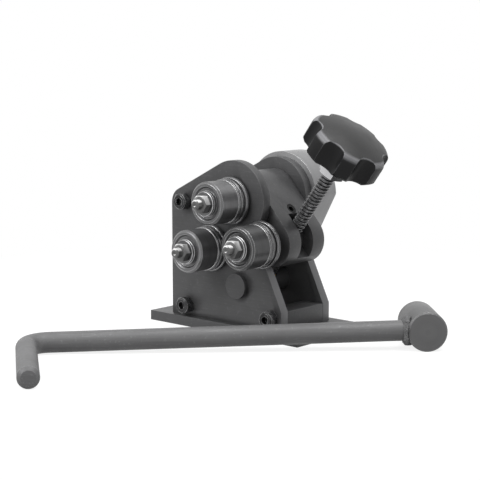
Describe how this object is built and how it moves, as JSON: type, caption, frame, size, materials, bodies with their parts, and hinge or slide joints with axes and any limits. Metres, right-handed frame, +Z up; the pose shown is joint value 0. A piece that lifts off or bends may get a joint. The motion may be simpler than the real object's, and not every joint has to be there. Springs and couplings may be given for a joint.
{
  "type": "edge rolling machine",
  "caption": "Bench machine that rolls strip and edging round: a driven roller above idlers on steel cheeks, a screw-set swinging arm with a star knob, and a loose hand crank.",
  "frame": {"origin": "middle of the base plate's underside, on the bench", "axes": "X along the cheeks to the end with the slanted edge, Y to the rear along the roller shafts, Z up"},
  "size_m": [0.2497, 0.3421, 0.1748],
  "materials": {
    "cheek_steel": "dark grey satin coat on plate steel",
    "turned_steel": "turned and ground tool steel, fine rings",
    "arm_steel": "grey satin coat on milled steel",
    "bright_alloy": "machined bright, fine turning marks",
    "zinc": "bright zinc plate",
    "black_oxide": "oiled black oxide",
    "bronze": "plain bearing bronze",
    "bearing_steel": "ground and polished bearing steel",
    "knob_plastic": "moulded black thermoset, half gloss",
    "crank_steel": "drawn bar with light scratches"
  },
  "bodies": {
    "frame": {"base_plate": "cheek_steel", "front_plate": "cheek_steel", "rear_plate": "cheek_steel", "lower_left_bar": "cheek_steel", "lower_right_bar": "cheek_steel", "upper_left_spacer": "cheek_steel", "thrust_bar": "cheek_steel", "frame_screws_front": "black_oxide", "frame_screws_rear": "black_oxide", "base_screws": "black_oxide", "pivot_sleeve": "turned_steel", "front_bush": "bronze", "bearing_housing": "bright_alloy", "housing_screws": "black_oxide", "bearing_outer_ring": "bearing_steel", "bearing_clip": "black_oxide", "lower_axle": "turned_steel", "lower_axle_nut": "zinc", "lower_washer": "zinc", "lower_bolt": "zinc"},
    "cage": {"bearing_cage": "bronze", "bearing_balls": "bearing_steel"},
    "drive": {"drive_shaft": "turned_steel", "drive_roller": "turned_steel", "drive_key": "turned_steel", "drive_washer": "zinc", "drive_bolt": "zinc", "bearing_inner_ring": "bearing_steel", "shaft_clip": "black_oxide"},
    "lower_roll": {"lower_roller": "turned_steel", "lower_bush": "turned_steel"},
    "arm": {"swing_arm": "arm_steel", "arm_bushes": "bronze", "arm_plug": "black_oxide"},
    "side_pin": {"side_axle": "turned_steel", "side_washer": "zinc", "side_bolt": "zinc"},
    "side_roll": {"side_roller": "turned_steel", "side_bush": "turned_steel"},
    "screw": {"adjusting_screw": "turned_steel", "screw_knob": "knob_plastic", "lock_nut": "zinc", "screw_clip": "black_oxide", "thrust_washer": "bronze"},
    "crank": {"crank_rod": "crank_steel", "crank_hub": "crank_steel", "crank_weld": "crank_steel", "crank_set_screw": "black_oxide"}
  },
  "joints": [
    {"name": "drive_spin", "type": "hinge", "parent": "frame", "child": "drive", "pos_m": [0.0088, 0, 0.1063], "axis": [0, 1, 0], "continuous": true},
    {"name": "cage_spin", "type": "hinge", "parent": "frame", "child": "cage", "pos_m": [0.0088, 0, 0.1063], "axis": [0, 1, 0], "continuous": true},
    {"name": "lower_spin", "type": "hinge", "parent": "frame", "child": "lower_roll", "pos_m": [-0.01302, 0, 0.06694], "axis": [0, 1, 0], "continuous": true},
    {"name": "screw_turn", "type": "hinge", "parent": "frame", "child": "screw", "pos_m": [0.01445, -0.002, 0.03905], "axis": [-0.5948, 0, -0.8039], "range_deg": [-280, 1872]},
    {"name": "arm_swing", "type": "hinge", "parent": "frame", "child": "arm", "pos_m": [0.0088, 0, 0.1063], "axis": [0, -1, 0], "range_deg": [-3, 20]},
    {"name": "axle_level", "type": "hinge", "parent": "arm", "child": "side_pin", "pos_m": [0.04062, 0, 0.07448], "axis": [0, -1, 0], "range_deg": [-20, 3]},
    {"name": "side_spin", "type": "hinge", "parent": "side_pin", "child": "side_roll", "pos_m": [0.04062, 0, 0.07448], "axis": [0, 1, 0], "continuous": true},
    {"name": "crank_slide", "type": "slide", "parent": "frame", "child": "crank", "axis": [0.6972, -0.7169, 0], "range_m": [0, 0.15]}
  ],
  "couplings": [
    {"joint": "cage_spin", "follows": "drive_spin", "ratio": 0.38358},
    {"joint": "arm_swing", "follows": "screw_turn", "ratio": 0.010682},
    {"joint": "axle_level", "follows": "screw_turn", "ratio": -0.010682}
  ]
}
